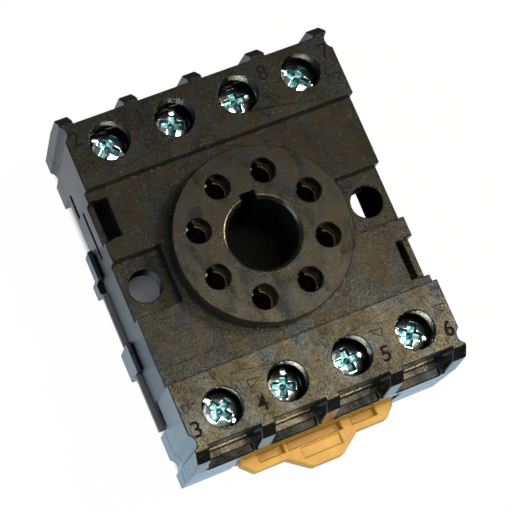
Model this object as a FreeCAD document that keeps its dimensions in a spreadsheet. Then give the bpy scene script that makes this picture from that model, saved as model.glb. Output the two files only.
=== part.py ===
import FreeCAD, Part
import os
import math
import Sketcher

# Eight-pole plug-in relay socket: a moulded housing on a moulded base, eight brass contacts,
# eight screws with captive square washers, and a sliding rail hook.
# Frame: origin at the centre of the pin circle on the seating face, +Z out of the socket,
# +Y towards the key notch, -Y towards the sliding hook. Lengths are in millimetres.

doc = FreeCAD.newDocument("relay_socket")
sheet = doc.addObject("Spreadsheet::Sheet", "Sizes")
sheet_rows = []


class Size:
    """A length with its number and the sheet expression that it comes from."""

    def __init__(self, value, text):
        self.value = float(value)
        self.text = text

    def __add__(self, other):
        other = as_size(other)
        return Size(self.value + other.value, "(%s + %s)" % (self.text, other.text))

    def __sub__(self, other):
        other = as_size(other)
        return Size(self.value - other.value, "(%s - %s)" % (self.text, other.text))

    def __mul__(self, factor):
        factor = as_size(factor)
        return Size(self.value * factor.value, "(%s * %s)" % (self.text, factor.text))

    def __truediv__(self, factor):
        factor = as_size(factor)
        return Size(self.value / factor.value, "(%s / %s)" % (self.text, factor.text))

    def __neg__(self):
        return Size(-self.value, "(0 - %s)" % self.text)


def as_size(number):
    if isinstance(number, Size):
        return number
    return Size(number, "(%.6f)" % number)


def size(alias, value):
    """Write one named size into the sheet."""
    row = len(sheet_rows) + 1
    sheet.set("A%d" % row, alias)
    sheet.set("B%d" % row, "%.6g" % value)
    sheet.setAlias("B%d" % row, alias)
    sheet_rows.append(alias)
    return Size(value, "Sizes." + alias)


# Overall block
body_half_width = size("body_half_width", 19.74)
end_reach = size("end_reach", 25.5)
base_depth = size("base_depth", 22.4)
seam_depth = size("seam_depth", 17.0)
row_drop = size("row_drop", 1.1)
deck_drop = size("deck_drop", 3.1)
pocket_drop = size("pocket_drop", 5.48)
pocket_half = size("pocket_half", 4.1)
pocket_inner = size("pocket_inner", 12.95)
row_inner = size("row_inner", 14.05)
row_outer = size("row_outer", 23.3)
label_near = size("label_near", 7.2)
label_far = size("label_far", 11.6)
label_end = size("label_end", 7.5)
label_sink = size("label_sink", 0.2)

# Seating boss, key bore and pin holes
boss_radius = size("boss_radius", 12.3)
key_radius = size("key_radius", 4.75)
key_depth = size("key_depth", 14.3)
key_chamfer = size("key_chamfer", 0.5)
notch_width = size("notch_width", 2.0)
notch_reach = size("notch_reach", 1.2)
pin_circle_radius = size("pin_circle_radius", 8.725)
pin_hole_radius = size("pin_hole_radius", 1.7)
boss_roof = size("boss_roof", 3.4)
contact_bay_radius = size("contact_bay_radius", 2.2)

# Terminal cells, wells and barrier ribs
cell_pitch = size("cell_pitch", 9.38)
well_line = size("well_line", 19.4)
well_radius = size("well_radius", 2.7)
cover_thick = size("cover_thick", 2.2)
rib_thick = size("rib_thick", 2.0)
bay_inner = size("bay_inner", 14.8)
bay_outer = size("bay_outer", 22.55)
rib_tip = size("rib_tip", 0.45)
rib_reach = size("rib_reach", 1.75)
rib_bevel = size("rib_bevel", 2.2)
shelf_drop = size("shelf_drop", 9.2)
entry_top = size("entry_top", 6.2)
tray_thick = size("tray_thick", 3.0)
scoop_half = size("scoop_half", 3.3)
scoop_lip = size("scoop_lip", 1.1)
scoop_fall = size("scoop_fall", 1.2)

# Fixing holes, hold-down pockets, corner grooves and wall windows
fixing_half = size("fixing_half", 16.5)
fixing_radius = size("fixing_radius", 2.25)
fixing_floor = size("fixing_floor", 3.4)
shaft_inner = size("shaft_inner", 10.9)
shaft_outer = size("shaft_outer", 19.1)
shaft_front = size("shaft_front", 4.4)
shaft_rear = size("shaft_rear", 5.5)
recess_side = size("recess_side", 18.4)
clip_inner = size("clip_inner", 17.15)
clip_outer = size("clip_outer", 18.75)
clip_near = size("clip_near", 7.0)
clip_far = size("clip_far", 12.8)
clip_deep = size("clip_deep", 12.4)
clip_window = size("clip_window", 1.3)
groove_x = size("groove_x", 20.35)
groove_y = size("groove_y", 22.3)
groove_radius = size("groove_radius", 1.26)
ear_near = size("ear_near", 13.9)
ear_far = size("ear_far", 17.3)

# Contacts
sheet_thick = size("sheet_thick", 1.0)
plate_drop = size("plate_drop", 9.0)
plate_half = size("plate_half", 3.2)
strip_drop = size("strip_drop", 13.6)
strip_half = size("strip_half", 1.4)
link_near = size("link_near", 11.9)
link_far = size("link_far", 14.5)
finger_radius = size("finger_radius", 1.75)
finger_wall = size("finger_wall", 0.35)
finger_slit = size("finger_slit", 0.8)
finger_root = size("finger_root", 2.6)

# Screws and washers
head_radius = size("head_radius", 2.9)
head_high = size("head_high", 2.4)
shank_radius = size("shank_radius", 1.75)
shank_long = size("shank_long", 6.6)
drive_arm = size("drive_arm", 1.0)
drive_span = size("drive_span", 1.75)
drive_deep = size("drive_deep", 1.2)
washer_half = size("washer_half", 3.0)
washer_thick = size("washer_thick", 0.8)

# Base, rail channel and sliding hook
rail_half = size("rail_half", 17.7)
rail_gap = size("rail_gap", 1.3)
seat_drop = size("seat_drop", 18.2)
hook_reach = size("hook_reach", 1.3)
hook_half = size("hook_half", 12.0)
plate_top = size("plate_top", 14.9)
foot_inner = size("foot_inner", 9.6)
flange_proud = size("flange_proud", 0.66)
flange_near = size("flange_near", 3.3)
flange_far = size("flange_far", 17.5)
tab_proud = size("tab_proud", 0.76)
tab_near = size("tab_near", 4.9)
tab_far = size("tab_far", 9.1)
tall_tab = size("tall_tab", 14.0)
short_tab = size("short_tab", 14.4)
bump_near = size("bump_near", 3.5)
bump_far = size("bump_far", 5.6)
slider_half = size("slider_half", 11.7)
handle_top = size("handle_top", 17.4)
handle_bottom = size("handle_bottom", 19.8)
handle_reach = size("handle_reach", 29.9)
shoulder_reach = size("shoulder_reach", 27.6)
shoulder_cut = size("shoulder_cut", 1.6)
tip_half = size("tip_half", 2.3)
tip_root = size("tip_root", 5.4)
slot_near = size("slot_near", 25.4)
slot_far = size("slot_far", 26.5)
slot_half = size("slot_half", 4.1)
slot_shift = size("slot_shift", 0.5)
slot_sink = size("slot_sink", 1.5)
pocket_from = size("pocket_from", 5.2)
pocket_to = size("pocket_to", 9.0)
pocket_sink = size("pocket_sink", 1.2)
dish_half = size("dish_half", 2.9)
dish_near = size("dish_near", 26.9)
dish_far = size("dish_far", 28.3)
dish_sink = size("dish_sink", 0.4)
tongue_half = size("tongue_half", 3.2)
tongue_long = size("tongue_long", 7.0)
leaf_top = size("leaf_top", 15.8)
leaf_thick = size("leaf_thick", 1.6)
arm_inner = size("arm_inner", 8.0)
arm_outer = size("arm_outer", 10.4)
arm_end = size("arm_end", 5.0)
barb_long = size("barb_long", 2.4)
barb_out = size("barb_out", 1.0)
slide_travel = size("slide_travel", 2.5)
track_floor = size("track_floor", 0.6)

# Clearances
fit_gap = size("fit_gap", 0.05)
run_gap = size("run_gap", 0.1)
side_gap = size("side_gap", 0.3)

doc.recompute()

wide = body_half_width
rib_half = rib_thick / 2
bay_half = (cell_pitch - rib_thick) / 2
cell_lines = [-1.5, -0.5, 0.5, 1.5]


def plane_of(body, role):
    for feature in body.Origin.OriginFeatures:
        if feature.Role == role:
            return feature
    raise RuntimeError("no origin plane " + role)


def new_body(name):
    body = doc.addObject("PartDesign::Body", name)
    body.Label = name
    return body


def add_loop(sketch, points):
    """Draw one closed polygon whose corners are all driven by the sheet."""
    first = sketch.GeometryCount
    count = len(points)
    for i in range(count):
        a = points[i]
        b = points[(i + 1) % count]
        start = FreeCAD.Vector(a[0].value, a[1].value, 0)
        end = FreeCAD.Vector(b[0].value, b[1].value, 0)
        sketch.addGeometry(Part.LineSegment(start, end), False)
    for i in range(count):
        j = first + (i + 1) % count
        sketch.addConstraint(Sketcher.Constraint("Coincident", first + i, 2, j, 1))
    for i in range(count):
        for kind, part in (("DistanceX", points[i][0]), ("DistanceY", points[i][1])):
            at = sketch.addConstraint(Sketcher.Constraint(kind, -1, 1, first + i, 1, part.value))
            sketch.setExpression("Constraints[%d]" % at, part.text)


def add_circle(sketch, x, y, radius):
    """Draw one circle whose centre and radius are driven by the sheet."""
    index = sketch.GeometryCount
    centre = FreeCAD.Vector(x.value, y.value, 0)
    sketch.addGeometry(Part.Circle(centre, FreeCAD.Vector(0, 0, 1), radius.value), False)
    for kind, part in (("DistanceX", x), ("DistanceY", y)):
        at = sketch.addConstraint(Sketcher.Constraint(kind, -1, 1, index, 3, part.value))
        sketch.setExpression("Constraints[%d]" % at, part.text)
    at = sketch.addConstraint(Sketcher.Constraint("Radius", index, radius.value))
    sketch.setExpression("Constraints[%d]" % at, radius.text)


def new_sketch(body, name, role, offset):
    sketch = body.newObject("Sketcher::SketchObject", name)
    sketch.AttachmentSupport = (plane_of(body, role), [""])
    sketch.MapMode = "FlatFace"
    sketch.setExpression("AttachmentOffset.Base.z", offset.text)
    return sketch


def fill(sketch, loops, circles):
    for loop in loops:
        add_loop(sketch, [(as_size(x), as_size(y)) for x, y in loop])
    for x, y, radius in circles:
        add_circle(sketch, as_size(x), as_size(y), as_size(radius))


def pad(body, name, loops, low, high, role="XY_Plane", circles=()):
    """Add material between two levels along the plane's normal."""
    sketch = new_sketch(body, name + "_outline", role, low)
    fill(sketch, loops, circles)
    feature = body.newObject("PartDesign::Pad", name)
    feature.Profile = sketch
    feature.Refine = False
    feature.setExpression("Length", (high - low).text)
    return feature


def cut(body, name, loops, low, high, role="XY_Plane", circles=()):
    """Remove material between two levels along the plane's normal."""
    sketch = new_sketch(body, name + "_outline", role, low)
    fill(sketch, loops, circles)
    feature = body.newObject("PartDesign::Pocket", name)
    feature.Profile = sketch
    feature.Refine = False
    feature.Reversed = True
    feature.setExpression("Length", (high - low).text)
    return feature


def rect(x0, x1, y0, y1):
    return [(x0, y0), (x1, y0), (x1, y1), (x0, y1)]


def mirror_rects(x0, x1, y0, y1):
    """Rectangles at both ends of the socket."""
    return [rect(x0, x1, y0, y1), rect(x0, x1, -y1, -y0)]


def turned(x0, x1, y0, y1):
    """A rectangle at the left rear and its half turn about the axis at the right front."""
    return [rect(-x1, -x0, y0, y1), rect(x0, x1, -y1, -y0)]


zero = as_size(0)
over = as_size(0.5)

# Housing: block, deck, terminal rows, boss
housing = new_body("housing")
pad(housing, "block", [rect(-wide, wide, -row_outer, row_outer)], -seam_depth, -deck_drop)
pad(housing, "rows", mirror_rects(-wide, wide, row_inner, row_outer), -deck_drop - fit_gap, -row_drop)
pad(housing, "shelf", mirror_rects(-wide, wide, row_outer - fit_gap, end_reach),
    -seam_depth, -shelf_drop)
cut(housing, "cross_pocket", [rect(-wide - over, -pocket_inner, -pocket_half, pocket_half),
                              rect(pocket_inner, wide + over, -pocket_half, pocket_half)],
    -pocket_drop, zero)
cut(housing, "label_seat", [rect(-wide - over, -label_end, -label_far, -label_near)],
    -deck_drop - label_sink, -deck_drop + over)
pad(housing, "boss", [], -pocket_drop - over, zero, circles=[(0, 0, boss_radius)])

# Barrier ribs: five bevelled noses a row, which run down to the wire trays
tip_y = row_outer + rib_tip
nose_y = row_outer + rib_reach
for end in (1, -1):
    side = "rear" if end > 0 else "front"
    profile = [(row_outer * end - fit_gap * end, -shelf_drop - fit_gap),
               (row_outer * end - fit_gap * end, -row_drop),
               (tip_y * end, -row_drop),
               (nose_y * end, -row_drop - rib_bevel),
               (end_reach * end, -shelf_drop - fit_gap)]
    for step in (-2, -1, 0, 1, 2):
        centre = cell_pitch * step
        low = centre - rib_half
        high = centre + rib_half
        if step == 2:
            high = wide
        if step == -2:
            low = -wide
        pad(housing, "%s_rib_%d" % (side, step + 3), [profile], low, high, role="YZ_Plane")

# The front skirt is open between the feet and below the trays, so the sliding hook can pass
opening_half = slider_half + side_gap + run_gap
cut(housing, "hook_opening", [rect(-opening_half, opening_half, -end_reach - over, -row_outer)],
    -seam_depth - over, -shelf_drop - tray_thick)

# Wire scoops in the trays: a sloping floor with a lip at each side
for end in (1, -1):
    side = "rear" if end > 0 else "front"
    lip_y = row_outer + scoop_lip
    profile = [(lip_y * end, -shelf_drop + over),
               (lip_y * end, -shelf_drop - scoop_fall / 3),
               ((end_reach + over) * end, -shelf_drop - scoop_fall),
               ((end_reach + over) * end, -shelf_drop + over)]
    for i in range(4):
        centre = cell_pitch * cell_lines[i]
        cut(housing, "%s_scoop_%d" % (side, i + 1), [profile], centre - scoop_half,
            centre + scoop_half, role="YZ_Plane")

# Screw wells, terminal bays and wire entries
wells = []
bays = []
entries = []
plate_slots = []
for end in (1, -1):
    for line in cell_lines:
        centre = cell_pitch * line
        wells.append((centre, well_line * end, well_radius))
        near = bay_inner if end > 0 else -bay_outer
        far = bay_outer if end > 0 else -bay_inner
        bays.append(rect(centre - bay_half, centre + bay_half, near, far))
        near = bay_inner + over if end > 0 else -end_reach - over
        far = end_reach + over if end > 0 else -bay_inner - over
        entries.append(rect(centre - bay_half + side_gap, centre + bay_half - side_gap, near, far))
        near = bay_outer - over if end > 0 else -row_outer - fit_gap
        far = row_outer + fit_gap if end > 0 else -bay_outer + over
        plate_slots.append(rect(centre - bay_half + side_gap, centre + bay_half - side_gap, near, far))
cut(housing, "wells", [], -row_drop - cover_thick - over, zero, circles=wells)
cut(housing, "bays", bays, -seam_depth - over, -row_drop - cover_thick)
cut(housing, "wire_entries", entries, -shelf_drop, -entry_top)
cut(housing, "plate_slots", plate_slots, -plate_drop - sheet_thick - run_gap, -shelf_drop + fit_gap)

# Pin holes, contact bays, key bore with its notch
pins = []
contact_bays = []
for i in range(8):
    angle = math.radians(22.5 + 45 * i)
    cx = pin_circle_radius * math.cos(angle)
    cy = pin_circle_radius * math.sin(angle)
    pins.append((cx, cy, pin_hole_radius))
    contact_bays.append((cx, cy, contact_bay_radius))
cut(housing, "contact_bays", [], -seam_depth - over, -boss_roof, circles=contact_bays)
cut(housing, "pin_holes", [], -boss_roof - over, over, circles=pins)
cut(housing, "key_bore", [], -key_depth, over, circles=[(0, 0, key_radius)])
rim_sketch = new_sketch(housing, "key_rim_outline", "XZ_Plane", zero)
fill(rim_sketch, [[(key_radius - over, over), (key_radius + key_chamfer + over, over),
                   (key_radius - over, -key_chamfer - over)]], [])
key_rim = housing.newObject("PartDesign::Groove", "key_rim")
key_rim.Profile = rim_sketch
key_rim.ReferenceAxis = (rim_sketch, ["V_Axis"])
key_rim.Angle = 360
key_rim.Refine = False
cut(housing, "key_notch", [rect(-notch_width / 2, notch_width / 2, zero, key_radius + notch_reach)],
    -key_depth, over)

# Channels for the contact strips
pin_far = pin_circle_radius * math.cos(math.radians(22.5))
pin_near = pin_circle_radius * math.sin(math.radians(22.5))
inner_line = cell_pitch / 2
outer_line = cell_pitch * 1.5
loose = side_gap
channels_long = []
channels_link = []
channels_near = []
for sx in (1, -1):
    for sy in (1, -1):
        x0 = (pin_far - strip_half - loose) * sx
        x1 = (pin_far + strip_half + loose) * sx
        channels_long.append(rect(x0, x1, pin_near * sy, (link_far + loose) * sy))
        channels_link.append(rect((pin_far - strip_half - loose) * sx, (outer_line + plate_half + loose) * sx,
                                  (link_near - loose) * sy, (bay_inner + fit_gap) * sy))
        x0 = (pin_near - strip_half - loose) * sx
        x1 = (pin_near + strip_half + loose) * sx
        channels_near.append(rect(x0, x1, pin_far * sy, (bay_inner + fit_gap) * sy))
roof = -strip_drop + fit_gap
cut(housing, "strip_channels_outer", channels_long, -seam_depth - over, roof)
cut(housing, "strip_channels_link", channels_link, -seam_depth - over, roof)
cut(housing, "strip_channels_inner", channels_near, -seam_depth - over, roof)

# Recess for the base, fixing shafts and holes, slot for the sliding hook
recess_x = recess_side
recess_y = bay_outer - fit_gap * 5
cut(housing, "base_recess", [rect(-recess_x, recess_x, -recess_y, recess_y)],
    -seam_depth - over, -plate_top + fit_gap)
cut(housing, "hook_slot", [rect(-opening_half, opening_half, -row_outer - over, -recess_y + over)],
    -seam_depth - over, -leaf_top + fit_gap * 2)
shafts = [rect(shaft_inner, shaft_outer, -shaft_front, shaft_rear),
          rect(-shaft_outer, -shaft_inner, -shaft_front, shaft_rear)]
cut(housing, "fixing_shafts", shafts, -seam_depth - over, -pocket_drop - fixing_floor)
cut(housing, "fixing_holes", [], -seam_depth, zero,
    circles=[(fixing_half, 0, fixing_radius), (-fixing_half, 0, fixing_radius)])

# Hold-down pockets, their wall windows, the contact windows and the corner grooves
cut(housing, "clip_pockets", turned(clip_outer - fit_gap, wide + over, clip_near, clip_far),
    -pocket_drop, zero)
cut(housing, "clip_slots", turned(clip_inner, clip_outer, clip_near + fit_gap * 3, clip_far - fit_gap * 3),
    -clip_deep, zero)
cut(housing, "clip_windows", turned(clip_outer - over, wide + over, clip_near - over, clip_far + over),
    -shelf_drop - clip_window, -shelf_drop)
ear_windows = mirror_rects(outer_line + plate_half - over, wide + over, ear_near, ear_far)
ear_windows += mirror_rects(-wide - over, -outer_line - plate_half + over, ear_near, ear_far)
cut(housing, "ear_windows", ear_windows, -strip_drop - sheet_thick - side_gap, -strip_drop + side_gap)
grooves = [(groove_x * sx, groove_y * sy, groove_radius) for sx in (1, -1) for sy in (1, -1)]
cut(housing, "corner_grooves", [], -seam_depth - over, zero, circles=grooves)
doc.recompute()

# Base: plate inside the housing, flange, feet, fixed hook, screw pedestals
base = new_body("base")
under = -seam_depth - fit_gap
inner_x = recess_x - run_gap
inner_y = recess_y - run_gap
pad(base, "inner_plate", [rect(-inner_x, inner_x, -inner_y, inner_y)], -seat_drop, -plate_top)
edge_x = wide - side_gap
edge_y = end_reach - fit_gap
pad(base, "rim_plate", [rect(-edge_x, edge_x, -edge_y, edge_y)], -seat_drop, under)
pad(base, "rear_foot", [rect(-wide, wide, rail_half, edge_y)], -base_depth, under)
pad(base, "front_feet", [rect(opening_half, wide, -edge_y, -rail_half),
                         rect(-wide, -opening_half, -edge_y, -rail_half)], -base_depth, under)
pad(base, "middle_feet", [rect(hook_half, wide, shaft_rear, foot_inner),
                          rect(hook_half, wide, -foot_inner, -shaft_front),
                          rect(-wide, -hook_half, shaft_rear, foot_inner),
                          rect(-wide, -hook_half, -foot_inner, -shaft_front)], -base_depth, under)
hook_top = -seat_drop - rail_gap
pad(base, "fixed_hook", [[(rail_half + fit_gap, hook_top), (rail_half + fit_gap, -base_depth),
                          (rail_half - hook_reach / 2, -base_depth),
                          (rail_half - hook_reach, hook_top - over), (rail_half - hook_reach, hook_top)]],
    -hook_half, hook_half, role="YZ_Plane")
pad(base, "side_flanges", [rect(-wide - flange_proud, -wide + over, -flange_far, flange_near),
                           rect(wide - over, wide + flange_proud, -flange_near, flange_far)],
    -seat_drop, under)
pedestals = []
pedestal_holes = []
for end in (1, -1):
    for line in cell_lines:
        centre = cell_pitch * line
        near = bay_inner + sheet_thick + side_gap + fit_gap * 2
        far = inner_y
        y0 = near if end > 0 else -far
        y1 = far if end > 0 else -near
        pedestals.append(rect(centre - plate_half, centre + plate_half, y0, y1))
        pedestal_holes.append((centre, well_line * end, shank_radius + side_gap + run_gap))
plate_under = -plate_drop - sheet_thick
pad(base, "pedestals", pedestals, -plate_top - fit_gap, plate_under - fit_gap)
cut(base, "pedestal_holes", [], -plate_top, plate_under + over, circles=pedestal_holes)

# Snap tongues on the side walls, half a turn apart: a tall one, a short one and a foot bump
tab_out = wide + tab_proud
tab_in = wide + fit_gap
foot = -base_depth + run_gap * 2
for turn in (1, -1):
    name = "left" if turn < 0 else "right"
    for kind, low, high, near, far in (("tall", foot, -tall_tab, tab_near, tab_far),
                                       ("short", -seat_drop - run_gap, -short_tab, -tab_far, -tab_near)):
        profile = [((wide - over) * turn, low), (tab_out * turn, low), (tab_out * turn, high - side_gap),
                   ((tab_in + side_gap) * turn, high), (tab_in * turn, high), (tab_in * turn, under),
                   ((wide - over) * turn, under)]
        y0 = near if turn > 0 else -far
        y1 = far if turn > 0 else -near
        # the section plane faces -Y, so levels run the other way
        pad(base, "%s_tongue_%s" % (name, kind), [profile], -y1, -y0, role="XZ_Plane")
bumps = [rect(wide - over, tab_out - fit_gap, -bump_far, -bump_near),
         rect(-tab_out + fit_gap, -wide + over, bump_near, bump_far)]
pad(base, "foot_bumps", bumps, foot, -seat_drop + fit_gap)

# Slider track, shafts, finger windows and corner grooves in the base
track_half = slider_half + side_gap
leaf_low = -leaf_top - leaf_thick
cut(base, "hook_bay", [rect(-track_half - fit_gap, track_half + fit_gap, -end_reach - over, -rail_half - fit_gap)],
    -base_depth - over, -leaf_top + fit_gap * 2)
track_neck = arm_outer + side_gap
stop_y = arm_end + barb_long + slide_travel + run_gap
cut(base, "track_neck", [rect(-track_neck, track_neck, -rail_half - over, -stop_y)],
    leaf_low - fit_gap, -leaf_top + fit_gap * 2)
barb_x = arm_outer + barb_out + side_gap
cut(base, "track_end", [rect(-barb_x, barb_x, -stop_y - fit_gap, -arm_end + side_gap)],
    leaf_low - fit_gap, -leaf_top + fit_gap * 2)
cut(base, "track_window", [rect(-arm_outer + over, arm_outer - over, -rail_half + over * 3, -arm_end - over)],
    -seat_drop - over, leaf_low + track_floor)
base_shafts = [rect(shaft_inner, shaft_outer + side_gap, -shaft_front, shaft_rear),
               rect(-shaft_outer - side_gap, -shaft_inner, -shaft_front, shaft_rear)]
cut(base, "fixing_shafts_base", base_shafts, -base_depth - over, -plate_top + over)
cut(base, "corner_grooves_base", [], -base_depth - over, -plate_top, circles=grooves)
doc.recompute()

# Sliding hook: handle with driver slot, block, hook lip, two sprung arms and a centre tongue
slider = new_body("rail_slider")
back_y = -row_outer - side_gap
corner_y = -shoulder_reach + shoulder_cut
handle = [(-slider_half, back_y), (-slider_half, corner_y),
          (-slider_half + shoulder_cut, -shoulder_reach), (-tip_root, -shoulder_reach),
          (-tip_half, -handle_reach), (tip_half, -handle_reach),
          (tip_root, -shoulder_reach), (slider_half - shoulder_cut, -shoulder_reach),
          (slider_half, corner_y), (slider_half, back_y)]
pad(slider, "handle", [handle], -handle_bottom, -handle_top)
block_bottom = -base_depth + run_gap
pad(slider, "block", [rect(-slider_half, slider_half, -end_reach + run_gap, -rail_half - run_gap)],
    block_bottom, -leaf_top)
pad(slider, "hook_lip", [[(-rail_half - over, hook_top), (-rail_half - over, block_bottom),
                          (-rail_half + hook_reach / 2, block_bottom),
                          (-rail_half + hook_reach, hook_top - over), (-rail_half + hook_reach, hook_top)]],
    -slider_half, slider_half, role="YZ_Plane")
arms = [rect(arm_inner, arm_outer, -rail_half - over, -arm_end), rect(-arm_outer, -arm_inner, -rail_half - over, -arm_end)]
barb_root = -arm_end - barb_long
barbs = []
for sx in (1, -1):
    barbs.append([((arm_outer - fit_gap) * sx, barb_root), ((arm_outer + barb_out) * sx, barb_root),
                  ((arm_outer + barb_out) * sx, barb_root + barb_out), ((arm_outer - fit_gap) * sx, -arm_end)])
pad(slider, "arms", arms, leaf_low, -leaf_top)
pad(slider, "barbs", barbs, leaf_low, -leaf_top)
pad(slider, "tongue", [rect(-tongue_half, tongue_half, -rail_half - over, -rail_half + tongue_long)],
    leaf_low, -leaf_top)
grip_top = -handle_top + over
cut(slider, "driver_slot", [rect(-slot_half - slot_shift, slot_half - slot_shift, -slot_far, -slot_near)],
    -handle_top - slot_sink, grip_top)
cut(slider, "side_pockets", [rect(-pocket_to, -pocket_from, -slot_far, -slot_near),
                             rect(pocket_from, pocket_to, -slot_far, -slot_near)],
    -handle_top - pocket_sink, grip_top)
cut(slider, "finger_dish", [rect(-dish_half, dish_half, -dish_far, -dish_near)],
    -handle_top - dish_sink, grip_top)
doc.recompute()

# Contacts: clamping plate with a tapped hole, step down, strip and slit spring tube
contacts = []
strip_top = -strip_drop
strip_low = strip_top - sheet_thick
plate_high = -plate_drop
plate_low = plate_high - sheet_thick
plate_end = row_outer - run_gap
order = ["2", "1", "8", "7", "3", "4", "5", "6"]
for end in (1, -1):
    for i in range(4):
        number = order[i if end > 0 else 4 + i]
        line = cell_lines[i]
        sx = 1 if line > 0 else -1
        outer = abs(line) > 1
        centre = cell_pitch * abs(line)
        pin_x = pin_far if outer else pin_near
        pin_y = pin_near if outer else pin_far
        body = new_body("contact_" + number)

        def at(x, y, sx=sx, end=end):
            return (x * sx, y * end)

        def block(x0, x1, y0, y1):
            return [at(x0, y0), at(x1, y0), at(x1, y1), at(x0, y1)]

        heel = bay_inner + run_gap
        pad(body, "plate_" + number, [block(centre - plate_half, centre + plate_half, heel, plate_end)],
            plate_low, plate_high)
        pad(body, "step_" + number, [block(centre - plate_half, centre + plate_half, heel, heel + sheet_thick)],
            strip_low, plate_high)
        if outer:
            strip = [at(pin_x - strip_half, pin_y - strip_half), at(pin_x + strip_half, pin_y - strip_half),
                     at(pin_x + strip_half, link_near), at(centre + plate_half, link_near),
                     at(centre + plate_half, heel + sheet_thick), at(centre - plate_half, heel + sheet_thick),
                     at(centre - plate_half, link_far), at(pin_x - strip_half, link_far)]
            pad(body, "strip_" + number, [strip], strip_low, strip_top)
            ear_x = wide - side_gap
            clear_x = centre + plate_half + run_gap
            ear = [at(centre + plate_half - over, heel - over), at(ear_x, heel - over),
                   at(ear_x, ear_far - side_gap), at(clear_x, ear_far - side_gap),
                   at(clear_x, heel + sheet_thick), at(centre + plate_half - over, heel + sheet_thick)]
            pad(body, "ear_" + number, [ear], strip_low, strip_top)
        else:
            strip = [at(pin_x - strip_half, pin_y - strip_half), at(pin_x + strip_half, pin_y - strip_half),
                     at(pin_x + strip_half, heel), at(centre + plate_half, heel),
                     at(centre + plate_half, heel + sheet_thick), at(centre - plate_half, heel + sheet_thick),
                     at(centre - plate_half, heel), at(pin_x - strip_half, heel)]
            pad(body, "strip_" + number, [strip], strip_low, strip_top)
        px = pin_x * sx
        py = pin_y * end
        pad(body, "tube_" + number, [], strip_top - fit_gap, -boss_roof - run_gap * 2,
            circles=[(px, py, finger_radius), (px, py, finger_radius - finger_wall)])
        slit = finger_slit / 2
        cut(body, "slit_" + number, [rect(px - slit, px + slit, py - finger_radius - over, py + finger_radius + over)],
            strip_top + finger_root, -boss_roof + over)
        cut(body, "tapped_hole_" + number, [], plate_low - over, plate_high + over,
            circles=[(centre * sx, well_line * end, shank_radius + fit_gap)])
        contacts.append(body)
doc.recompute()

# Screws with a pan head and cross drive, each with its captive square washer
head_free = -row_drop - cover_thick - run_gap
turns = {"1": 38, "2": 22, "3": -38, "4": 8, "5": 0, "6": 12, "7": 30, "8": 45}
settings = {"1": 0.9, "2": 0.9, "3": 0.05, "4": 1.2, "5": 0.7, "6": 0.4, "7": 0.3, "8": 0.7}
fasteners = []
for end in (1, -1):
    for i in range(4):
        number = order[i if end > 0 else 4 + i]
        x = cell_pitch * cell_lines[i]
        y = well_line * end
        turn = size("turn_" + number, turns[number])
        setting = size("setting_" + number, settings[number])
        head_top = head_free - setting
        head_low = head_top - head_high
        screw = new_body("screw_" + number)
        sketch = new_sketch(screw, "section_" + number, "XZ_Plane", zero)
        crown = head_high / 4
        outline = [(0, 0), (head_radius * 0.72, 0), (head_radius, -crown * 1.6),
                   (head_radius, -head_high), (shank_radius, -head_high),
                   (shank_radius, -head_high - shank_long), (0, -head_high - shank_long)]
        fill(sketch, [outline], [])
        turning = screw.newObject("PartDesign::Revolution", "turned_" + number)
        turning.Profile = sketch
        turning.ReferenceAxis = (sketch, ["V_Axis"])
        turning.Angle = 360
        a = drive_arm / 2
        b = drive_span
        cross = [(a, a), (a, b), (-a, b), (-a, a), (-b, a), (-b, -a), (-a, -a), (-a, -b), (a, -b), (a, -a),
                 (b, -a), (b, a)]
        cut(screw, "drive_" + number, [cross], -drive_deep, over)
        washer = new_body("washer_" + number)
        w = washer_half
        pad(washer, "square_" + number, [rect(-w, w, -w, w)], -washer_thick, zero,
            circles=[(0, 0, shank_radius + fit_gap)])
        for piece, level in ((screw, head_top), (washer, head_low)):
            piece.setExpression("Placement.Base.x", x.text)
            piece.setExpression("Placement.Base.y", y.text)
            piece.setExpression("Placement.Base.z", level.text)
        screw.setExpression("Placement.Rotation.Angle", turn.text)
        fasteners.append(screw)
        fasteners.append(washer)
doc.recompute()

# One clean-up of split faces for each piece, at its last feature
pieces = [housing, base, slider] + contacts + fasteners
for piece in pieces:
    piece.Tip.Refine = True
doc.recompute()
for thing in doc.Objects:
    if "Invalid" in thing.State or "Error" in thing.State:
        raise RuntimeError("%s is %s" % (thing.Name, thing.State))
for piece in pieces:
    if piece.Shape.isNull() or not piece.Shape.isValid():
        raise RuntimeError(piece.Label + " has no valid shape")
    print("%-12s solids %d volume %.2f" % (piece.Label, len(piece.Shape.Solids), piece.Shape.Volume))

os.makedirs("parts", exist_ok=True)
for piece in pieces:
    piece.Shape.exportStep("parts/" + piece.Label + ".step")
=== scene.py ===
import math

import bmesh
import bpy
from mathutils import Matrix, Vector


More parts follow.
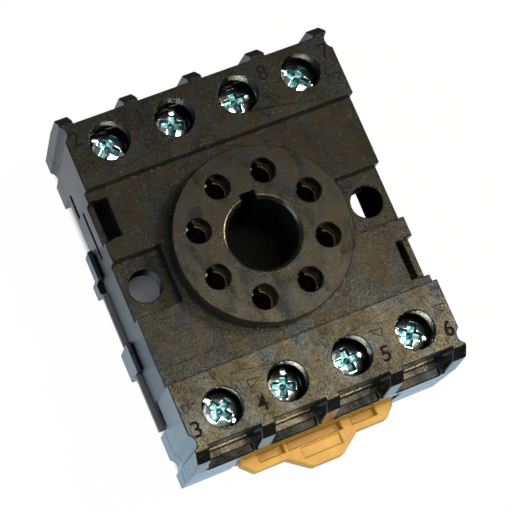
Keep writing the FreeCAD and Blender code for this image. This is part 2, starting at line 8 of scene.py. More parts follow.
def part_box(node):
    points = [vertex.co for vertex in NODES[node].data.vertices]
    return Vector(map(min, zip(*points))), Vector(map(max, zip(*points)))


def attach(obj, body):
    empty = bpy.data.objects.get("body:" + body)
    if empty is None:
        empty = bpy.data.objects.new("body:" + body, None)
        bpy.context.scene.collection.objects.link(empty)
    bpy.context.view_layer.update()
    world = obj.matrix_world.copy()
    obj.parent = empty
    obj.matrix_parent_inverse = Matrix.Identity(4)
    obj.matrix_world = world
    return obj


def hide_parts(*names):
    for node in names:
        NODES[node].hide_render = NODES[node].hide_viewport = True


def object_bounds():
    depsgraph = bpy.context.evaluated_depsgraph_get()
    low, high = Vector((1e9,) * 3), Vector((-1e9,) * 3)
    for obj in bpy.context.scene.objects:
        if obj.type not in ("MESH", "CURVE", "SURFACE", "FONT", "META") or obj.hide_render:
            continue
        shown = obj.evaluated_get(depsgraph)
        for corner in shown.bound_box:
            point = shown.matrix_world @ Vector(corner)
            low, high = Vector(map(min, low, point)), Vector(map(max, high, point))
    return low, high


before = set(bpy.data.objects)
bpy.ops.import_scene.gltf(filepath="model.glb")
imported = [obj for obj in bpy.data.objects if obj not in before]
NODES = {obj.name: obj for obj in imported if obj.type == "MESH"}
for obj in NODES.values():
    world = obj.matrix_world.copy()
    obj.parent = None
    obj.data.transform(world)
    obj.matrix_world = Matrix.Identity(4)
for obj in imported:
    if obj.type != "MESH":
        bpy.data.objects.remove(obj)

CAD_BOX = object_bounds()
MM = 0.001

# Places on the socket. X and Y start at the pin circle's centre, Z at the boss's seating face.
DECK_BELOW = -2.0 * MM      # the deck lies lower than this, the rows and the boss higher
BOSS_ABOVE = -0.6 * MM      # only the boss lies higher than this
ROW_TOP = -1.1 * MM
ROW_FROM = 14.2 * MM        # the deck lies between the terminal rows, which start here
TRAY_FROM = 23.2 * MM       # the wire trays and their ribs lie outside of the rows' walls
PITCH = 9.38 * MM           # from one terminal to the next
WELL_LINE = 19.4 * MM       # the screws stand on this line in either row
WELL_REACH = 2.9 * MM       # a well and its rounded rim
BORE_REACH = 11.6 * MM      # the key bore, the pin holes and the spring tubes lie inside of this
TUBE_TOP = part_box("contact_1")[1].z
LEDGE_TOP = -17.05 * MM     # the tops of the base's narrow side flanges
LEDGE_FROM = 18.1 * MM
EDGE = 0.1 * MM             # the width over which one area's look changes to the next one's

# Terminal numbers from left to right, and each screw's turn in degrees as in the photograph
FRONT = ["3", "4", "5", "6"]
REAR = ["2", "1", "8", "7"]
SCREW_TURN = {"1": 66, "2": -48, "3": -57, "4": 69, "5": 2, "6": -36, "7": -48, "8": 0}

# Noise fields swing about 0.5, and the looks below use this part of their range
PLASTIC_RANGE = (0.38, 0.62)
GLOSS_RANGE = (0.41, 0.59)
FINE_RANGE = (0.3, 0.7)
PLASTIC_IOR = 1.5


class Tree:
    """A node material around one Principled shader, with a short call for each kind of node."""

    def __init__(self, name):
        self.material = bpy.data.materials.new(name)
        self.material.use_nodes = True
        self.nodes = self.material.node_tree.nodes
        self.links = self.material.node_tree.links
        self.nodes.clear()
        self.out = self.nodes.new("ShaderNodeOutputMaterial")
        self.shader = self.nodes.new("ShaderNodeBsdfPrincipled")
        self.links.new(self.shader.outputs["BSDF"], self.out.inputs["Surface"])
        self.coords = self.nodes.new("ShaderNodeTexCoord").outputs["Object"]

    def put(self, value, socket):
        """Links an output to a socket, or sets a number or a colour on it."""
        if hasattr(value, "is_output"):
            self.links.new(value, socket)
        elif socket.type == "RGBA":
            socket.default_value = (*value, 1)
        else:
            socket.default_value = value

    def set(self, **values):
        """Sets the shader's sockets: base_color stands for Base Color, and so on."""
        for socket in self.shader.inputs:
            name = socket.name.lower().replace(" ", "_")
            if name in values:
                self.put(values[name], socket)

    def noise(self, scale, detail, rough, stretch=None, distortion=0.0):
        node = self.nodes.new("ShaderNodeTexNoise")
        self.put(scale, node.inputs["Scale"])
        self.put(detail, node.inputs["Detail"])
        self.put(rough, node.inputs["Roughness"])
        self.put(distortion, node.inputs["Distortion"])
        where = self.coords
        if stretch:
            mapping = self.nodes.new("ShaderNodeMapping")
            self.put(stretch, mapping.inputs["Scale"])
            self.put(where, mapping.inputs["Vector"])
            where = mapping.outputs["Vector"]
        self.put(where, node.inputs["Vector"])
        return node.outputs["Fac"]

    def ramp(self, source, stops):
        node = self.nodes.new("ShaderNodeValToRGB")
        elements = node.color_ramp.elements
        elements[0].position, elements[1].position = stops[0][0], stops[-1][0]
        elements[0].color, elements[1].color = (*stops[0][1], 1), (*stops[-1][1], 1)
        for place, colour in stops[1:-1]:
            elements.new(place).color = (*colour, 1)
        self.put(source, node.inputs["Fac"])
        return node.outputs["Color"]

    def remap(self, source, low, high, to_low, to_high):
        node = self.nodes.new("ShaderNodeMapRange")
        self.put(low, node.inputs["From Min"])
        self.put(high, node.inputs["From Max"])
        self.put(to_low, node.inputs["To Min"])
        self.put(to_high, node.inputs["To Max"])
        self.put(source, node.inputs["Value"])
        return node.outputs["Result"]

    def rise(self, source, low, high):
        return self.remap(source, low, high, 0.0, 1.0)

    def fall(self, source, low, high):
        return self.remap(source, low, high, 1.0, 0.0)

    def mix(self, factor, a, b, blend="MIX"):
        node = self.nodes.new("ShaderNodeMix")
        node.data_type = "RGBA"
        node.blend_type = blend
        first, second = [socket for socket in node.inputs if socket.type == "RGBA"]
        self.put(factor, node.inputs["Factor"])
        self.put(a, first)
        self.put(b, second)
        return next(socket for socket in node.outputs if socket.type == "RGBA")

    def math(self, operation, a, b=0.0):
        node = self.nodes.new("ShaderNodeMath")
        node.operation = operation
        self.put(a, node.inputs[0])
        self.put(b, node.inputs[1])
        return node.outputs[0]

    def plus(self, a, b):
        return self.math("ADD", a, b)

    def minus(self, a, b):
        return self.math("SUBTRACT", a, b)

    def times(self, a, b):
        return self.math("MULTIPLY", a, b)

    def most(self, a, b):
        return self.math("MAXIMUM", a, b)

    def size(self, a):
        return self.math("ABSOLUTE", a)

    def lessened(self, a, mask, by):
        """The value a, less the share by of it where the mask is 1."""
        return self.times(a, self.minus(1.0, self.times(mask, by)))

    def blended(self, a, b, share):
        """A share of b and the rest of a."""
        return self.plus(self.times(a, self.minus(1.0, share)), self.times(b, share))

    def radius(self, x, y):
        return self.math("SQRT", self.plus(self.times(x, x), self.times(y, y)))

    def axes(self, vector):
        """The X, Y and Z of a vector."""
        node = self.nodes.new("ShaderNodeSeparateXYZ")
        self.put(vector, node.inputs["Vector"])
        return [node.outputs[name] for name in "XYZ"]

    def bump(self, height, strength, distance, after=None):
        """Roughens the shader's surface, on top of an earlier bump if there is one."""
        node = self.nodes.new("ShaderNodeBump")
        self.put(strength, node.inputs["Strength"])
        self.put(distance, node.inputs["Distance"])
        self.put(height, node.inputs["Height"])
        if after:
            self.put(after, node.inputs["Normal"])
        self.put(node.outputs["Normal"], self.shader.inputs["Normal"])
        return node.outputs["Normal"]


def moulding_areas(t):
    """Masks for the areas of a black moulding that look unlike the rows' tops."""
    x, y, z = t.axes(t.coords)
    # the normal's Z is 1 on a level face and 0 on a wall
    geometry = t.nodes.new("ShaderNodeNewGeometry")
    upward = t.axes(geometry.outputs["True Normal"])[2]
    deck = t.times(t.rise(z, DECK_BELOW, DECK_BELOW - 2 * EDGE),
                   t.fall(t.size(y), ROW_FROM, ROW_FROM + 2 * EDGE))
    bore = t.times(t.fall(t.radius(x, y), BORE_REACH, BORE_REACH + EDGE),
                   t.fall(z, BOSS_ABOVE - 3 * EDGE, BOSS_ABOVE))
    # the wells stand half a pitch and one and a half from the middle
    off_x = t.minus(t.size(t.minus(t.size(x), PITCH)), PITCH / 2)
    off_y = t.minus(t.size(y), WELL_LINE)
    well = t.times(t.fall(t.radius(off_x, off_y), WELL_REACH, WELL_REACH + EDGE),
                   t.fall(z, ROW_TOP - 2.5 * EDGE, ROW_TOP - EDGE))
    tray = t.times(t.rise(t.size(y), TRAY_FROM, TRAY_FROM + 2 * EDGE),
                   t.fall(z, ROW_TOP - 9 * EDGE, ROW_TOP - 7 * EDGE))
    level = t.fall(t.size(t.minus(z, LEDGE_TOP)), EDGE, 2 * EDGE)
    ledge = t.times(t.times(t.rise(t.size(x), LEDGE_FROM, LEDGE_FROM + EDGE), level),
                    t.rise(upward, 0.6, 0.8))
    return {
        "deck": deck,
        "hollow": t.most(bore, well),
        "upright": t.fall(t.size(upward), 0.25, 0.45),
        "tray": tray,
        "ledge": ledge,
        # full everywhere but on the boss, whose face is smoother
        "rough": t.remap(z, BOSS_ABOVE - EDGE, BOSS_ABOVE + EDGE, 1.0, 0.5),
        # painted shade: the deck's gloss falls towards its rear, so its rear mirrors less light
        # than its front
        "dull": t.remap(y, -13 * MM, 6 * MM, 0.10, 0.62),
    }


def black_plastic(name, dark, light, rough_low, rough_high, grain=1.0):
    """Glass-filled black moulding: smeared marks on the rows, curled ones on the deck."""
    t = Tree(name)
    area = moulding_areas(t)
    smooth = t.most(area["tray"], t.times(area["upright"], 0.7))
    cloud = t.noise(scale=230, detail=4, rough=0.62, stretch=(1.5, 0.9, 1.0), distortion=0.3)
    smear = t.noise(scale=4600, detail=3, rough=0.65, stretch=(1.0, 0.34, 1.0), distortion=0.6)
    swirl = t.noise(scale=2700, detail=3, rough=0.70, distortion=3.0)
    fleck = t.noise(scale=5200, detail=2, rough=0.6, distortion=1.0)

    # the tone drives colour, roughness and gloss alike: broad clouds with fine flow marks
    flow = t.blended(smear, swirl, area["deck"])
    share = t.plus(t.times(area["rough"], 0.50), t.times(area["deck"], 0.30))
    tone = t.blended(cloud, flow, t.lessened(share, smooth, 0.6))
    low, high = PLASTIC_RANGE
    middle = [(a + b) / 2 for a, b in zip(dark, light)]
    base = t.ramp(tone, [(low, dark), (0.5, middle), (high, light)])
    # painted light: the base's side ledges get a lighter brownish grey, where the lamps leave
    # them dark
    ledge_painted_light = t.ramp(tone, [(low, (0.14, 0.12, 0.108)), (high, (0.22, 0.19, 0.172))])
    base = t.mix(area["ledge"], base, ledge_painted_light)
    # painted glints: bright specks added to the colour, standing in for light caught by the fine
    # grain
    painted_speck_glints = t.ramp(fleck, [(0.58, (0, 0, 0)), (0.70, (0.42, 0.40, 0.34))])
    base = t.mix(0.055 * grain, base, painted_speck_glints, "ADD")

    # painted glints: sparse bright dots put into the colour, on the open faces only
    cells = t.nodes.new("ShaderNodeTexVoronoi")
    t.put(2300, cells.inputs["Scale"])
    t.put(t.coords, cells.inputs["Vector"])
    chance = t.nodes.new("ShaderNodeSeparateColor")
    t.put(cells.outputs["Color"], chance.inputs["Color"])
    painted_glint = t.times(t.fall(cells.outputs["Distance"], 0.12, 0.30),
                    t.rise(chance.outputs["Red"], 0.82, 1.0))
    covered = t.most(area["hollow"], area["upright"])
    painted_glint = t.times(painted_glint, t.times(area["rough"], t.minus(1.0, covered)))
    base = t.mix(t.times(painted_glint, 0.13 * grain), base, (0.62, 0.60, 0.52))

    gloss = t.remap(tone, *GLOSS_RANGE, 0.19, 0.63)
    gloss = t.times(gloss, t.minus(1.0, t.times(area["deck"], area["dull"])))
    gloss = t.most(gloss, t.times(area["upright"], 0.85))

    # the sheen runs from cold to olive over broad patches; on walls and in hollows its cold tint
    # is a painted reflection of cool light
    tint = t.noise(scale=190, detail=3, rough=0.55, stretch=(1.7, 0.9, 1.0), distortion=0.3)
    tint = t.ramp(tint, [(0.38, (0.86, 0.96, 1.0)), (0.48, (1.0, 0.97, 0.86)),
                         (0.60, (1.0, 0.88, 0.62))])
    tint = t.mix(area["upright"], tint, (0.78, 0.92, 1.0))
    tint = t.mix(area["hollow"], tint, (0.62, 0.85, 1.0))

    # painted shade: in the hollows, the key bore, the pin holes and the wells, the gloss is cut
    # to a sixth
    t.set(base_color=base,
          roughness=t.lessened(t.remap(tone, low, high, rough_high, rough_low),
                               area["upright"], 0.35),
          specular_ior_level=t.lessened(gloss, area["hollow"], 0.84),
          specular_tint=tint,
          ior=PLASTIC_IOR)
    fine = t.bump(fleck, strength=0.45 * grain, distance=0.03 * MM)
    relief = t.times(area["rough"], t.plus(0.29 * grain, t.times(area["deck"], 0.50)))
    t.bump(flow, strength=t.lessened(relief, smooth, 0.7), distance=0.07 * MM, after=fine)
    return t.material


def orange_plastic(name):
    """Orange-yellow moulding, with painted shade: its colour is darker in its corners and
    recesses.
    """
    t = Tree(name)
    cloud = t.noise(scale=260, detail=4, rough=0.6)
    fine = t.noise(scale=2600, detail=3, rough=0.5)
    base = t.ramp(cloud, [(0.3, (0.50, 0.23, 0.010)), (0.52, (0.58, 0.295, 0.018)),
                          (0.72, (0.64, 0.37, 0.045))])
    # painted shade: the colour turns a darker orange where an occlusion mask finds corners
    corner = t.nodes.new("ShaderNodeAmbientOcclusion")
    corner.samples = 8
    t.put(1.6 * MM, corner.inputs["Distance"])
    corner_shade = t.remap(corner.outputs["AO"], 0.30, 0.85, 0.75, 0.0)
    t.set(base_color=t.mix(corner_shade, base, (0.47, 0.225, 0.002)),
          roughness=t.remap(fine, *FINE_RANGE, 0.34, 0.5),
          ior=PLASTIC_IOR,
          subsurface_weight=0.05,
          subsurface_radius=(1.2 * MM, 0.6 * MM, 0.2 * MM),
          subsurface_scale=1.0)
    t.bump(fine, strength=0.22, distance=0.04 * MM)
    return t.material


def zinc(name, colours, rough_low, rough_high, relief, scale=900):
    """Bright zinc plate, dulled by tumbling; the recesses' copy is darker and colder, painted
    shade and a painted cold reflection.
    """
    t = Tree(name)
    cloud = t.noise(scale=scale, detail=4, rough=0.6)
    fine = t.noise(scale=5200, detail=3, rough=0.6)
    t.set(base_color=t.ramp(cloud, list(zip((0.34, 0.5, 0.66), colours))),
          metallic=1.0,
          roughness=t.remap(fine, *FINE_RANGE, rough_low, rough_high))
    t.bump(fine, strength=relief, distance=0.02 * MM)
    return t.material


def brass(name):
    """Stamped brass, painted dark in the pin holes as shade, darkest below the tubes' tops, so
    only the tubes' lips catch light.
    """
    t = Tree(name)
    cloud = t.noise(scale=500, detail=4, rough=0.6)
    streak = t.noise(scale=2400, detail=3, rough=0.6, stretch=(1, 0.2, 1))
    base = t.ramp(cloud, [(0.3, (0.62, 0.46, 0.24)), (0.5, (0.80, 0.66, 0.42)),
                          (0.7, (0.90, 0.80, 0.60))])
    x, y, z = t.axes(t.coords)
    inside = t.fall(t.radius(x, y), BORE_REACH, BORE_REACH + 4 * EDGE)
    deep = t.fall(z, TUBE_TOP - 1.6 * EDGE, TUBE_TOP - 0.6 * EDGE)
    # painted shade: darker inside the pin holes, darkest below the spring tubes' tops
    base = t.mix(t.times(inside, 0.88), base, (0.045, 0.030, 0.016))
    base = t.mix(t.times(inside, deep), base, (0.016, 0.012, 0.009))
    t.set(base_color=base, metallic=1.0, roughness=t.remap(streak, *FINE_RANGE, 0.2, 0.4))
    t.bump(streak, strength=0.2, distance=0.02 * MM)
    return t.material


def dark_mark(name):
    """Raised lettering, darker and duller than the moulding around it."""
    t = Tree(name)
    fine = t.noise(scale=3000, detail=3, rough=0.5)
    t.set(base_color=t.ramp(fine, [(0.3, (0.002, 0.002, 0.002)), (0.7, (0.006, 0.0055, 0.005))]),
          roughness=t.remap(fine, *FINE_RANGE, 0.55, 0.75),
          specular_ior_level=0.12)
    return t.material


MAT_HOUSING = black_plastic("black_moulding", dark=(0.0016, 0.0015, 0.0013),
                            light=(0.008, 0.007, 0.005), rough_low=0.19, rough_high=0.30)
MAT_BASE = black_plastic("black_base", dark=(0.0016, 0.0016, 0.0015),
                         light=(0.008, 0.0075, 0.006), rough_low=0.18, rough_high=0.32,
                         grain=0.8)
MAT_ORANGE = orange_plastic("orange_moulding")
MAT_ZINC = zinc("zinc_steel", ((0.44, 0.56, 0.62), (0.66, 0.76, 0.80), (0.88, 0.90, 0.88)),
                rough_low=0.09, rough_high=0.20, relief=0.20)
# the cross recesses' copy of the zinc, darker and colder: painted shade and a painted cold
# reflection
MAT_RECESS_SHADE = zinc("zinc_recess", ((0.012, 0.05, 0.065), (0.085, 0.22, 0.26), (0.36, 0.55, 0.58)),
                  rough_low=0.30, rough_high=0.50, relief=0.9, scale=2300)
MAT_BRASS = brass("contact_brass")
MAT_MARK = dark_mark("mark_black")


def placed(name, data):
    """A new object in the scene."""
    obj = bpy.data.objects.new(name, data)
    bpy.context.scene.collection.objects.link(obj)
    return obj


def real_mesh(obj):
    """The mesh that an object's modifiers or text give; the object itself goes."""
    graph = bpy.context.evaluated_depsgraph_get()
    mesh = bpy.data.meshes.new_from_object(obj.evaluated_get(graph))
    bpy.data.objects.remove(obj)
    return mesh


def mesh_from(bm, name):
    bmesh.ops.recalc_face_normals(bm, faces=bm.faces)
    mesh = bpy.data.meshes.new(name)
    bm.to_mesh(mesh)
    bm.free()
    return mesh


def new_piece(name, mesh, materials, body):
    """A piece of the object that rides on one of its bodies."""
    obj = placed(name, mesh)
    mesh.materials.clear()
    for material in materials:
        mesh.materials.append(material)
    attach(obj, body)
    return obj


def convex_marks():
    """A node group that marks the outward edges, the only ones that a bevel rounds."""
    tree = bpy.data.node_groups.new("convex_marks", "GeometryNodeTree")
    for side in ("INPUT", "OUTPUT"):
        tree.interface.new_socket("Geometry", in_out=side, socket_type="NodeSocketGeometry")
    start = tree.nodes.new("NodeGroupInput")
    end = tree.nodes.new("NodeGroupOutput")
    angle = tree.nodes.new("GeometryNodeInputMeshEdgeAngle")
    sharp = tree.nodes.new("ShaderNodeMath")
    sharp.operation = "GREATER_THAN"
    sharp.inputs[1].default_value = math.radians(35)
    store = tree.nodes.new("GeometryNodeStoreNamedAttribute")
    store.data_type = "FLOAT"
    store.domain = "EDGE"
    store.inputs["Name"].default_value = "bevel_weight_edge"
    tree.links.new(start.outputs["Geometry"], store.inputs["Geometry"])
    tree.links.new(angle.outputs["Signed Angle"], sharp.inputs[0])
    tree.links.new(sharp.outputs["Value"], store.inputs["Value"])
    tree.links.new(store.outputs["Geometry"], end.inputs["Geometry"])
    return tree


CONVEX = convex_marks()


def dress(node, material, width, segments=2):
    """A CAD node keeps its shape and gets a material and a small edge radius."""
    obj = NODES[node]
    obj.data.materials.clear()
    obj.data.materials.append(material)
    for poly in obj.data.polygons:
        poly.use_smooth = False
    weld = obj.modifiers.new("weld", "WELD")
    weld.merge_threshold = 0.002 * MM
    outward = obj.modifiers.new("outward_edges", "NODES")
    outward.node_group = CONVEX
    bevel = obj.modifiers.new("edge_radius", "BEVEL")
    bevel.width = width
    bevel.segments = segments
    bevel.limit_method = "WEIGHT"
    bevel.use_clamp_overlap = False
    bevel.harden_normals = False
    bevel.miter_outer = "MITER_SHARP"


dress("housing", MAT_HOUSING, width=0.15 * MM)
dress("base", MAT_BASE, width=0.13 * MM)
dress("rail_slider", MAT_ORANGE, width=0.2 * MM, segments=3)
for n in SCREW_TURN:
    dress("contact_" + n, MAT_BRASS, width=0.06 * MM, segments=1)
    dress("washer_" + n, MAT_ZINC, width=0.1 * MM)


def lathe(bm, profile, steps):
    """A turned surface from (radius, height) points, in millimetres; radius 0 is a point."""
    rings = []
    for r, z in profile:
        angles = [2 * math.pi * k / steps for k in range(steps)] if r else [0.0]
        rings.append([bm.verts.new((r * MM * math.cos(a), r * MM * math.sin(a), z * MM))
                      for a in angles])
    for a, b in zip(rings, rings[1:]):
        for k in range(steps):
            j = (k + 1) % steps
            if len(a) == 1:
                bm.faces.new((a[0], b[k], b[j]))
            elif len(b) == 1:
                bm.faces.new((a[k], b[0], a[j]))
            else:
                bm.faces.new((a[k], b[k], b[j], a[j]))


def wedge(bm, half_x, half_y, z_low, z_high, taper, angle):
    """A bar in millimetres, narrower at its foot and turned about Z: one arm of a recess."""
    top = []
    foot = []
    for sx, sy in ((-1, -1), (1, -1), (1, 1), (-1, 1)):
        for ring, z, scale in ((foot, z_low, taper), (top, z_high, 1.0)):
            x = sx * half_x * scale * MM
            y = sy * half_y * scale * MM
            ring.append(bm.verts.new((x * math.cos(angle) - y * math.sin(angle),
                                      x * math.sin(angle) + y * math.cos(angle), z * MM)))
    bm.faces.new(foot)
    bm.faces.new(list(reversed(top)))
    for k in range(4):
        j = (k + 1) % 4
        bm.faces.new((foot[k], foot[j], top[j], top[k]))


# The screw, in millimetres from the top of its head
CROWN = 0.058           # how fast the head's dome falls away
HEAD_RADIUS = 2.9
HEAD_HIGH = 2.4
SHANK_LONG = 6.6
THREAD_PITCH = 0.6
THREAD_OUTER, THREAD_INNER = 1.72, 1.40
PLAIN_TIP = 0.9         # the last turn of the thread ends about this far above the tip
RECESS_REACH = 1.92     # the recess takes its own look from a little below the dome to its foot
RECESS_FROM, RECESS_TO = 0.07, 1.9


def screw_profile():
    """The screw's outline from the middle of its dome to the tip of its threaded shank."""
    head = [(r, -CROWN * r * r) for r in (0, 0.45, 0.9, 1.3, 1.65, 1.95, 2.2, 2.4)]
    head += [(2.58, -0.46), (2.74, -0.66), (2.86, -0.98), (HEAD_RADIUS, -1.4),
             (HEAD_RADIUS, 0.15 - HEAD_HIGH), (HEAD_RADIUS - 0.12, -HEAD_HIGH),
             (1.62, -HEAD_HIGH)]
    tip = -HEAD_HIGH - SHANK_LONG
    thread = []
    z = -HEAD_HIGH
    while z > tip + PLAIN_TIP:
        for r, drop in ((THREAD_OUTER, 0.22), (THREAD_OUTER, 0.34),
                        (THREAD_INNER, 0.72), (THREAD_INNER, 0.84)):
            thread.append((r, z - drop * THREAD_PITCH))
        z -= THREAD_PITCH
    return head + thread + [(1.30, z - 0.1), (1.1, tip), (0, tip)]


def turned_piece(name, profile, steps):
    bm = bmesh.new()
    lathe(bm, profile, steps)
    return placed(name, mesh_from(bm, name))


def bar(name, **shape):
    bm = bmesh.new()
    wedge(bm, **shape)
    return placed(name, mesh_from(bm, name))


def screw_mesh():
    """Pan head with a slot and a cross recess, and a threaded shank."""
    blank = turned_piece("screw_blank", screw_profile(), steps=56)
    cutters = [bar("cut_slot", half_x=3.2, half_y=0.34, z_low=-0.70, z_high=0.5,
                   taper=1.0, angle=0.0)]
    for k in range(2):
        cutters.append(bar("cut_arm_%d" % k, half_x=1.84, half_y=0.60, z_low=-1.05, z_high=0.12,
                           taper=0.74, angle=k * math.pi / 2))
    core = [(0, -1.75), (0.35, -1.3), (0.95, 0.15), (0, 0.15)]
    cutters.append(turned_piece("cut_core", core, steps=24))
    for cutter in cutters:
        cut = blank.modifiers.new("cut", "BOOLEAN")
        cut.operation = "DIFFERENCE"
        cut.solver = "EXACT"
        cut.object = cutter
    bevel = blank.modifiers.new("edge", "BEVEL")
    bevel.width = 0.08 * MM
    bevel.segments = 2
    bevel.limit_method = "ANGLE"
    bevel.angle_limit = math.radians(40)
    mesh = real_mesh(blank)
    for cutter in cutters:
        bpy.data.objects.remove(cutter)
    for poly in mesh.polygons:
        poly.use_smooth = True
        spot = poly.center / MM
        reach = math.hypot(spot.x, spot.y)
        below_dome = -RECESS_TO < spot.z < -CROWN * reach * reach - RECESS_FROM
        poly.material_index = 1 if reach < RECESS_REACH and below_dome else 0
    mesh.set_sharp_from_angle(angle=math.radians(30))
    return mesh


SCREW = screw_mesh()
for n, degrees in SCREW_TURN.items():
    low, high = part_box("screw_" + n)
    centre = (low + high) / 2
    mesh = SCREW.copy()
    mesh.transform(Matrix.Translation((centre.x, centre.y, high.z))
                   @ Matrix.Rotation(math.radians(degrees), 4, "Z"))
    kept = [poly.material_index for poly in mesh.polygons]
    piece = new_piece("clamp_screw_" + n, mesh, (MAT_ZINC, MAT_RECESS_SHADE),
                      "screw_body_" + n)
    # clearing the mesh's materials also resets which face has which
    mesh.polygons.foreach_set("material_index", kept)
    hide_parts("screw_" + n)


# The raised marks on the rows' tops
FIGURE_HIGH = 2.2 * MM
FIGURE_SHARE = 0.72             # the font's figures are this share of its size high
FIGURE_RISE = 0.03 * MM
FIGURE_BOLDER = 0.04 * MM
FIGURE_LINE = 20.95 * MM        # the figures' middles, in Y
FIGURE_ASIDE = 4.3 * MM         # and in X from their well's middle
TRIANGLE_LINE = 17.45 * MM
TRIANGLE_LEFT, TRIANGLE_RIGHT = 4.15 * MM, 4.3 * MM
BEAD = 0.065 * MM               # half the width of a triangle's line
BEAD_SECTION = ((-1, -0.3), (-0.6, 0.7), (0.6, 0.7), (1, -0.3))
SHARPEST = 0.35                 # keeps a sharp corner of a bead from running out


def raised_figure(name, text, x, y, z, height):
    """A raised figure on a flat face of the housing."""
    curve = bpy.data.curves.new(name, "FONT")
    curve.body = text
    curve.size = height / FIGURE_SHARE
    curve.align_x = "CENTER"
    curve.align_y = "CENTER"
    curve.extrude = FIGURE_RISE
    curve.offset = FIGURE_BOLDER
    curve.resolution_u = 6
    obj = placed(name, curve)
    obj.location = (x, y, z)
    obj.scale = (0.98, 1, 1)
    bpy.context.view_layer.update()
    place = obj.matrix_world.copy()
    mesh = real_mesh(obj)
    mesh.transform(place)
    new_piece(name, mesh, [MAT_MARK], "socket")


def bead_loop(name, points, z, radius):
    """A closed raised outline: a low bead with slanted sides along each edge."""
    bm = bmesh.new()
    count = len(points)
    rows = []
    for k in range(count):
        before = Vector(points[k - 1])
        here = Vector(points[k])
        after = Vector(points[(k + 1) % count])
        a = (here - before).normalized()
        b = (after - here).normalized()
        across = Vector((-(a + b).y, (a + b).x)).normalized()
        scale = radius / max(SHARPEST, across.dot(Vector((-a.y, a.x))))
        row = []
        for u, w in BEAD_SECTION:
            p = here + across * u * scale
            row.append(bm.verts.new((p.x, p.y, z + w * radius * 0.6)))
        rows.append(row)
    for k in range(count):
        j = (k + 1) % count
        for m in range(3):
            bm.faces.new((rows[k][m], rows[j][m], rows[j][m + 1], rows[k][m + 1]))
    new_piece(name, mesh_from(bm, name), [MAT_MARK], "socket")


# A figure stands beside each well, on the side away from the middle, and a triangle behind it
for k in range(4):
    x = (k - 1.5) * PITCH
    side = -1 if k < 2 else 1
    beside = x + side * FIGURE_ASIDE
    arrow = x - TRIANGLE_LEFT if side < 0 else x + TRIANGLE_RIGHT
    for end, row in ((-1, FRONT), (1, REAR)):
        figure = row[k]
        raised_figure("figure_" + figure, figure, beside, end * FIGURE_LINE, ROW_TOP,
                      FIGURE_HIGH)
        top = end * TRIANGLE_LINE
        corners = [(arrow - 0.95 * MM, top + 0.15 * MM), (arrow + 0.85 * MM, top - 0.05 * MM),
                   (arrow + (0.6 * side - 0.2) * MM, top - 1.0 * MM)]
        bead_loop("triangle_" + figure, corners, ROW_TOP, BEAD)


BODY_REACH = 25.5 * MM      # the body's end walls, seen from its middle
SIDE_RECESS = 2.3 * MM      # how far the floor's reflection goes in under the right wall
FLOOR_GAP = 0.05 * MM
FLOOR_SIZE = 3.0


def stage_floor():
    """A pale floor, white to the camera away from the object, and glowing a cold white in
    reflections close by it: a painted reflection.
    """
    bm = bmesh.new()
    bmesh.ops.create_grid(bm, x_segments=2, y_segments=2, size=FLOOR_SIZE)
    obj = placed("floor", mesh_from(bm, "floor"))
    obj.location = (0, 0, CAD_BOX[0].z - FLOOR_GAP)
    t = Tree("floor_pale")
    path = t.nodes.new("ShaderNodeLightPath")
    x, y, _ = t.axes(t.coords)
    beside = t.minus(t.size(x), CAD_BOX[1].x)
    on_right = t.times(t.math("GREATER_THAN", x), SIDE_RECESS)
    reach = t.most(t.minus(beside, on_right), t.minus(t.size(y), BODY_REACH))

    # the plain floor, which takes the shadow; under the body its colour is painted warmer and
    # darker, painted shade
    out_of_shade = t.rise(reach, -3.0 * MM, 0.0)
    t.set(base_color=t.ramp(out_of_shade, [(0.0, (0.80, 0.68, 0.60)), (1.0, (0.83, 0.83, 0.84))]),
          roughness=0.8)

    # what the camera sees: white outside of the object's outline
    open_floor = t.remap(t.most(beside, reach), -1.9 * MM, -1.0 * MM, 0.0, 0.98)
    white = t.nodes.new("ShaderNodeEmission")
    t.put((1, 1, 1), white.inputs["Color"])
    t.put(1.0, white.inputs["Strength"])
    seen = t.nodes.new("ShaderNodeMixShader")
    t.put(t.times(path.outputs["Is Camera Ray"], open_floor), seen.inputs["Fac"])
    t.put(t.shader.outputs["BSDF"], seen.inputs[1])
    t.put(white.outputs["Emission"], seen.inputs[2])

    # painted reflection: to gloss and glass the floor glows a cold white, which fades with
    # distance and towards the rear
    near = t.remap(reach, 5 * MM, 15 * MM, 1.0, 0.10)
    clear = t.rise(reach, -2.8 * MM, -1.8 * MM)
    front = t.remap(y, -24 * MM, 24 * MM, 1.0, 0.44)
    rearward = t.rise(y, -24 * MM, 24 * MM)
    sheen = t.nodes.new("ShaderNodeEmission")
    t.put(t.ramp(rearward, [(0.0, (0.62, 0.82, 1.0)), (1.0, (0.90, 0.93, 1.0))]),
          sheen.inputs["Color"])
    t.put(t.times(t.times(near, clear), front), sheen.inputs["Strength"])
    mirrored = t.nodes.new("ShaderNodeMixShader")
    t.put(t.most(path.outputs["Is Glossy Ray"], path.outputs["Is Transmission Ray"]),
          mirrored.inputs["Fac"])
    t.put(seen.outputs["Shader"], mirrored.inputs[1])
    t.put(sheen.outputs["Emission"], mirrored.inputs[2])
    t.put(mirrored.outputs["Shader"], t.out.inputs["Surface"])
    obj.data.materials.append(t.material)


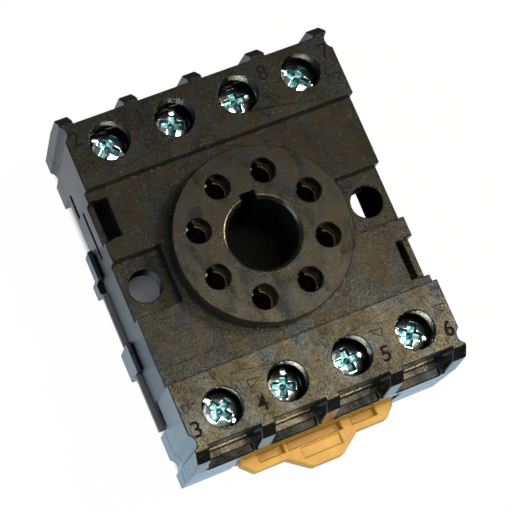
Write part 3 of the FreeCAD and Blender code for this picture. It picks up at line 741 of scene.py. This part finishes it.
def studio_world():
    """Faint cold light from all round, and plain white behind the object for the camera."""
    world = bpy.data.worlds.new("studio")
    bpy.context.scene.world = world
    world.use_nodes = True
    nodes = world.node_tree.nodes
    links = world.node_tree.links
    light = nodes["Background"]
    light.inputs["Color"].default_value = (0.74, 0.85, 1.0, 1)
    light.inputs["Strength"].default_value = 0.16
    white = nodes.new("ShaderNodeBackground")
    white.inputs["Color"].default_value = (1, 1, 1, 1)
    white.inputs["Strength"].default_value = 1.0
    path = nodes.new("ShaderNodeLightPath")
    choose = nodes.new("ShaderNodeMixShader")
    links.new(path.outputs["Is Camera Ray"], choose.inputs["Fac"])
    links.new(light.outputs["Background"], choose.inputs[1])
    links.new(white.outputs["Background"], choose.inputs[2])
    links.new(choose.outputs["Shader"], nodes["World Output"].inputs["Surface"])


def area_lamp(name, place, target, size, power, colour):
    """A soft lamp, square or with its two sides given, in metres and watts."""
    lamp = bpy.data.lights.new(name, "AREA")
    lamp.energy = power
    lamp.color = colour
    if isinstance(size, tuple):
        lamp.shape = "RECTANGLE"
        lamp.size, lamp.size_y = size
    else:
        lamp.size = size
    obj = placed(name, lamp)
    obj.location = place
    obj.rotation_euler = (Vector(target) - Vector(place)).to_track_quat("-Z", "Y").to_euler()


stage_floor()
studio_world()
MIDDLE = (0, 0, 0)
area_lamp("key", (0.37, 0.01, 0.53), MIDDLE, 0.10, 2.4, (1.0, 0.93, 0.78))
area_lamp("sheen", (0.11, -0.04, 0.70), MIDDLE, (0.09, 0.26), 2.2, (1.0, 0.89, 0.68))
area_lamp("front_card", (0.20, -0.50, 0.44), (0, -0.02, -0.01), 0.20, 0.45, (0.98, 0.92, 0.76))
area_lamp("panel", (-0.22, -0.06, 0.60), MIDDLE, 0.22, 0.4, (0.70, 0.88, 1.0))
area_lamp("flash", (-0.18, -0.14, 0.60), MIDDLE, 0.05, 0.10, (0.92, 0.97, 1.0))
area_lamp("window", (-0.55, -0.10, 0.22), (0, 0, -0.01), 0.40, 2.0, (0.60, 0.80, 1.0))

# The camera, solved from the photograph: where it stands, in millimetres, and its three axes
CAMERA_PLACE = Vector((-63.649, -48.102, 248.682)) * MM
RIGHT = Vector((0.90774558, -0.39082223, 0.152499))
DOWN = Vector((-0.34687349, -0.90366309, -0.25114099))
AHEAD = Vector((0.23595919, 0.17507426, -0.95586205))
cam_data = bpy.data.cameras.new("camera")
cam_data.sensor_width = 36.0
cam_data.lens = 138.40
cam_data.clip_start = 0.01
cam_data.clip_end = 10.0
cam = placed("camera", cam_data)
turn = Matrix((RIGHT, -DOWN, -AHEAD)).transposed().to_4x4()
cam.matrix_world = Matrix.Translation(CAMERA_PLACE) @ turn
bpy.context.scene.camera = cam
bpy.context.scene.view_settings.view_transform = "Standard"
